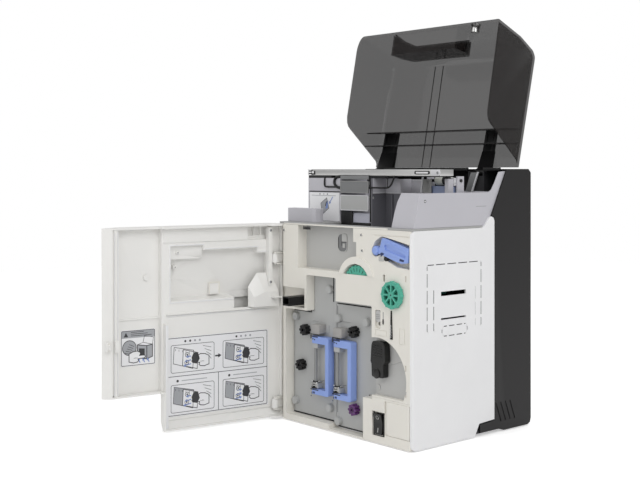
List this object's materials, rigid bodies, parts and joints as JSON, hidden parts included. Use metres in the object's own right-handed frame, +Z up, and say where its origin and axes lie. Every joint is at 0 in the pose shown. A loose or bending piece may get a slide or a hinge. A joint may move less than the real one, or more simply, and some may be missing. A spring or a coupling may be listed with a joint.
{
  "type": "id card printer",
  "caption": "Desktop card printer with a swing-out front door, a tilting smoked cover over the card feeder, and pull-out film and ribbon cassettes.",
  "frame": {"origin": "on the table under the middle of the cabinet, at the plane of the feet", "axes": "+X to the right seen from the front, +Y to the back, +Z up; the front door opens towards -Y"},
  "size_m": [0.4058, 0.6171, 0.6853],
  "materials": {
    "cover_white": "fine moulded texture",
    "frame_white": "moulded, satin",
    "door_white": "moulded, satin",
    "rear_black": "fine moulded texture",
    "pan_steel": "powder coated sheet",
    "plate_steel": "sheet, drawn grain",
    "pin_steel": "turned",
    "foot_rubber": "moulded",
    "cassette_grey": "moulded, fine texture",
    "panel_grey": "moulded",
    "tray_grey": "moulded, fine texture",
    "well_black": "moulded",
    "mech_dark": "moulded",
    "flap_grey": "moulded",
    "wire_black": "coated wire",
    "bar_metal": "extruded, anodised",
    "slider_metal": "anodised",
    "handle_blue": "moulded, satin",
    "carriage_blue": "moulded",
    "feed_green": "moulded, satin",
    "knob_black": "moulded",
    "knob_purple": "moulded",
    "film_clear": "wound film",
    "ribbon_dark": "wound ribbon",
    "card_white": "laminated cards",
    "label_white": "printed film label",
    "smoked": "smoked, polished",
    "smoked_dark": "smoked, polished",
    "arm_black": "moulded",
    "lock_metal": "plated",
    "roller_rubber": "ground",
    "inner_grey": "sheet housings",
    "rocker_black": "moulded"
  },
  "bodies": {
    "cabinet": {"base_pan": "pan_steel", "feet": "foot_rubber", "side_cover_right": "cover_white", "side_cover_left": "cover_white", "rear_cover": "rear_black", "front_frame": "frame_white", "bay_box": "plate_steel", "window_panel": "panel_grey", "quadrant_panel": "panel_grey", "switch_block": "frame_white", "blank_cover": "frame_white", "deck": "tray_grey", "deck_well": "well_black", "upper_tray": "tray_grey", "feeder_housing": "tray_grey", "feeder_label": "label_white", "feeder_gate": "mech_dark", "wire_bail": "wire_black", "top_bar": "bar_metal", "card_hopper": "tray_grey", "feed_carriage": "carriage_blue", "card_stack": "card_white", "card_chute": "well_black", "lid_hinge_posts": "mech_dark", "door_hinge_pins": "pin_steel", "rear_ports": "well_black", "inner_works": "inner_grey", "cleaning_brush": "knob_black"},
    "front_door": {"door_shell": "door_white", "door_lining": "door_white", "output_tray": "door_white", "door_labels": "label_white", "door_latch": "door_white", "hinge_strip": "door_white"},
    "top_cover": {"lid_shell": "smoked", "lid_ribs": "smoked_dark", "lid_arms": "arm_black", "lid_lock": "lock_metal"},
    "film_cassette": {"film_frame": "cassette_grey"},
    "ribbon_cassette": {"ribbon_frame": "cassette_grey"},
    "film_spool_a": {"film_knob_a": "knob_black", "film_roll_a": "film_clear"},
    "film_spool_b": {"film_knob_b": "knob_black", "film_roll_b": "film_clear"},
    "ribbon_spool_a": {"ribbon_knob_a": "knob_black", "ribbon_roll_a": "ribbon_dark"},
    "ribbon_spool_b": {"ribbon_knob_b": "knob_purple", "ribbon_roll_b": "ribbon_dark"},
    "film_handle": {"film_bail": "handle_blue"},
    "ribbon_handle": {"ribbon_bail": "handle_blue"},
    "head_lock": {"head_lever": "rocker_black"},
    "release": {"release_lever": "handle_blue"},
    "feed_wheel": {"feed_knob": "feed_green"},
    "thumb": {"thumb_wheel": "feed_green"},
    "picker": {"pick_roller": "roller_rubber"},
    "slider": {"head_slider": "slider_metal"},
    "power": {"rocker": "rocker_black"},
    "upper_flap": {"gate_flap_upper": "flap_grey"},
    "lower_flap": {"gate_flap_lower": "tray_grey"}
  },
  "joints": [
    {"name": "front_door_hinge", "type": "hinge", "parent": "cabinet", "child": "front_door", "pos_m": [-0.1555, -0.1507, 0.2], "axis": [0, 0, -1], "range_deg": [-98.5, 0]},
    {"name": "top_cover_hinge", "type": "hinge", "parent": "cabinet", "child": "top_cover", "pos_m": [0, 0.1006, 0.4303], "axis": [-1, 0, 0], "range_deg": [-101.2, 0]},
    {"name": "film_cassette_slide", "type": "slide", "parent": "cabinet", "child": "film_cassette", "axis": [0, -1, 0], "range_m": [0, 0.1]},
    {"name": "ribbon_cassette_slide", "type": "slide", "parent": "cabinet", "child": "ribbon_cassette", "axis": [0, -1, 0], "range_m": [0, 0.1]},
    {"name": "film_spool_a_turn", "type": "hinge", "parent": "film_cassette", "child": "film_spool_a", "pos_m": [-0.0946, -0.128, 0.1597], "axis": [0, 1, 0], "continuous": true},
    {"name": "film_spool_b_turn", "type": "hinge", "parent": "film_cassette", "child": "film_spool_b", "pos_m": [-0.105, -0.128, 0.0984], "axis": [0, 1, 0], "continuous": true},
    {"name": "ribbon_spool_a_turn", "type": "hinge", "parent": "ribbon_cassette", "child": "ribbon_spool_a", "pos_m": [0.0284, -0.128, 0.1693], "axis": [0, 1, 0], "continuous": true},
    {"name": "ribbon_spool_b_turn", "type": "hinge", "parent": "ribbon_cassette", "child": "ribbon_spool_b", "pos_m": [0.029, -0.128, 0.0426], "axis": [0, 1, 0], "continuous": true},
    {"name": "film_handle_hinge", "type": "hinge", "parent": "film_cassette", "child": "film_handle", "pos_m": [-0.063, -0.1365, 0.1], "axis": [0, 0, -1], "range_deg": [0, 90]},
    {"name": "ribbon_handle_hinge", "type": "hinge", "parent": "ribbon_cassette", "child": "ribbon_handle", "pos_m": [-0.008, -0.1365, 0.1], "axis": [0, 0, -1], "range_deg": [0, 90]},
    {"name": "head_lock_hinge", "type": "hinge", "parent": "cabinet", "child": "head_lock", "pos_m": [0.0985, -0.146, 0.113], "axis": [0, 1, 0], "range_deg": [0, 90]},
    {"name": "release_hinge", "type": "hinge", "parent": "cabinet", "child": "release", "pos_m": [0.093, -0.146, 0.3069], "axis": [0, 1, 0], "range_deg": [0, 6]},
    {"name": "feed_wheel_turn", "type": "hinge", "parent": "cabinet", "child": "feed_wheel", "pos_m": [0.1334, -0.146, 0.24], "axis": [0, 1, 0], "continuous": true},
    {"name": "thumb_wheel_turn", "type": "hinge", "parent": "cabinet", "child": "thumb", "pos_m": [0.0465, -0.146, 0.25], "axis": [0, 1, 0], "continuous": true},
    {"name": "pick_roller_turn", "type": "hinge", "parent": "cabinet", "child": "picker", "pos_m": [0.115, -0.014, 0.417], "axis": [1, 0, 0], "continuous": true},
    {"name": "head_slider_slide", "type": "slide", "parent": "cabinet", "child": "slider", "axis": [0, 0, -1], "range_m": [0, 0.008]},
    {"name": "power_rocker_tilt", "type": "hinge", "parent": "cabinet", "child": "power", "pos_m": [0.0974, -0.138, 0.033], "axis": [1, 0, 0], "range_deg": [-8, 8]},
    {"name": "upper_flap_hinge", "type": "hinge", "parent": "cabinet", "child": "upper_flap", "pos_m": [-0.04, -0.0595, 0.4115], "axis": [-1, 0, 0], "range_deg": [0, 60]},
    {"name": "lower_flap_hinge", "type": "hinge", "parent": "cabinet", "child": "lower_flap", "pos_m": [-0.04, -0.0595, 0.387], "axis": [-1, 0, 0], "range_deg": [0, 60]}
  ]
}
